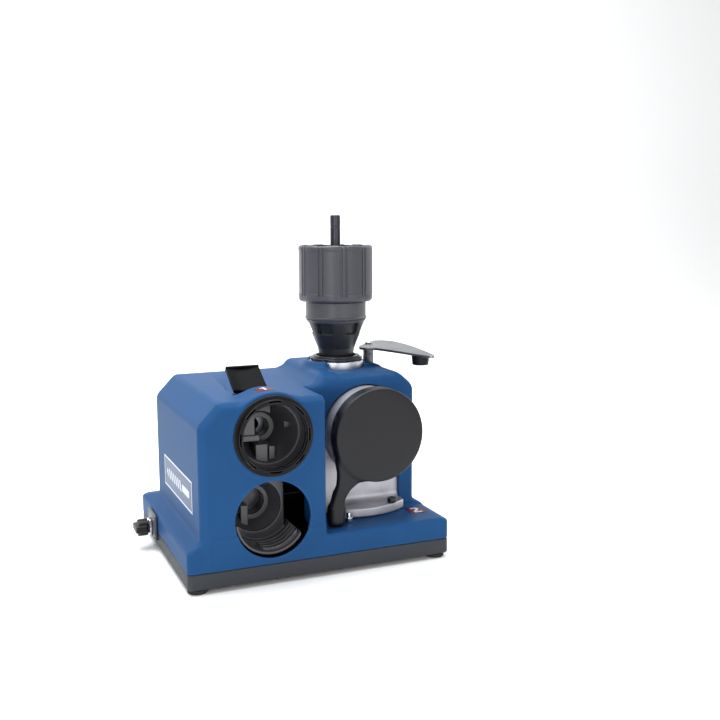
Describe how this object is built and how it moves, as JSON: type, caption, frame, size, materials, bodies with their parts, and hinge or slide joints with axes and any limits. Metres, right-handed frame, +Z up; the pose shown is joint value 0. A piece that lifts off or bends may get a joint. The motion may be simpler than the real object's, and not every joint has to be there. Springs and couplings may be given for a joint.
{
  "type": "drill bit sharpener",
  "caption": "Bench drill bit sharpener: alignment port with lever, chuck rest, grinding port with hinged wheel guard and swing cover, and a hand chuck holding a bit.",
  "frame": {"origin": "centre of the bounding box on the plane the feet stand on", "axes": "+X to the machine's right, +Y to the back, +Z up; the front face with the two round ports looks along -Y"},
  "size_m": [0.2286, 0.179, 0.2655],
  "materials": {
    "blue_plastic": "satin moulded",
    "black_plastic": "fine moulded grain",
    "gloss_black": "semi-gloss",
    "rubber": "matte",
    "aluminium": "cast and machined",
    "steel": "machined",
    "dark_steel": "darkened",
    "chrome": "bright",
    "diamond_grit": "coated with grit",
    "white_plastic": "plain",
    "copper": "lacquered windings"
  },
  "bodies": {
    "machine": {"base_tray": "black_plastic", "foot_front_left": "rubber", "foot_front_right": "rubber", "foot_rear_left": "rubber", "foot_rear_right": "rubber", "housing_screw_fl": "steel", "housing_screw_fr": "steel", "housing_screw_rl": "steel", "housing_screw_rr": "steel", "housing": "blue_plastic", "alignment_socket": "gloss_black", "jaw_carrier": "steel", "lever_pin": "steel", "lever_spring": "steel", "chuck_rest": "black_plastic", "grinding_head_casting": "aluminium", "flange_screw": "dark_steel", "guard_stop_screw": "chrome", "port_sleeve": "aluminium", "guard_hinge_pin": "steel", "leaf_post": "steel", "leaf_screw": "chrome", "motor_can": "steel", "motor_end_cap": "black_plastic", "bearing_front": "steel", "bearing_rear": "steel", "motor_screw_left": "steel", "motor_screw_right": "steel", "switch_bezel": "black_plastic", "switch_nut": "chrome", "switch_body": "black_plastic", "terminal_block": "white_plastic", "cable_gland": "rubber"},
    "wheel_guard": {"wheel_guard": "black_plastic"},
    "leaf": {"leaf_cover": "dark_steel"},
    "lever": {"alignment_lever": "gloss_black"},
    "jaw_left": {"alignment_jaw_left": "steel"},
    "jaw_right": {"alignment_jaw_right": "steel"},
    "spindle": {"spindle": "steel", "motor_rotor": "copper", "wheel_hub": "aluminium", "grinding_wheel": "diamond_grit", "wheel_nut": "steel"},
    "guide_ring": {"guide_ring": "dark_steel"},
    "chuck": {"chuck_body": "black_plastic", "chuck_collet": "steel", "drill_bit": "dark_steel"},
    "chuck_knob": {"chuck_knob": "black_plastic"},
    "switch": {"switch_knob": "black_plastic"}
  },
  "joints": [
    {"name": "wheel_guard_hinge", "type": "hinge", "parent": "machine", "child": "wheel_guard", "pos_m": [0.0197, -0.0675, 0.0435], "axis": [0, 0, 1], "range_deg": [-92, 0]},
    {"name": "leaf_cover_swing", "type": "hinge", "parent": "machine", "child": "leaf", "pos_m": [0.0862, 0.0235, 0.1555], "axis": [0, 0, 1], "range_deg": [0, 85]},
    {"name": "alignment_lever_tilt", "type": "hinge", "parent": "machine", "child": "lever", "pos_m": [-0.0403, -0.0365, 0.1275], "axis": [1, 0, 0], "range_deg": [-16, 0], "stiffness_Nm_per_rad": 0.25, "springref_deg": 8.59},
    {"name": "jaw_left_slide", "type": "slide", "parent": "machine", "child": "jaw_left", "axis": [-1, 0, 0], "range_m": [0, 0.0031]},
    {"name": "jaw_right_slide", "type": "slide", "parent": "machine", "child": "jaw_right", "axis": [1, 0, 0], "range_m": [0, 0.0031]},
    {"name": "wheel_spin", "type": "hinge", "parent": "machine", "child": "spindle", "pos_m": [0.0557, 0.0065, 0.0985], "axis": [0, 1, 0], "continuous": true},
    {"name": "guide_ring_turn", "type": "hinge", "parent": "machine", "child": "guide_ring", "pos_m": [0.0515, 0.0105, 0.1495], "axis": [0, 0, 1], "continuous": true},
    {"name": "chuck_lift", "type": "slide", "parent": "guide_ring", "child": "chuck", "axis": [0, 0, 1], "range_m": [0, 0.06]},
    {"name": "chuck_knob_turn", "type": "hinge", "parent": "chuck", "child": "chuck_knob", "pos_m": [0.0515, 0.0105, 0.2185], "axis": [0, 0, 1], "range_deg": [-180, 180]},
    {"name": "switch_turn", "type": "hinge", "parent": "machine", "child": "switch", "pos_m": [-0.1093, 0.0335, 0.0175], "axis": [1, 0, 0], "range_deg": [0, 90]}
  ],
  "couplings": [
    {"joint": "jaw_right_slide", "follows": "jaw_left_slide", "ratio": 1},
    {"joint": "alignment_lever_tilt", "follows": "jaw_left_slide", "rad_per_m": -90}
  ]
}
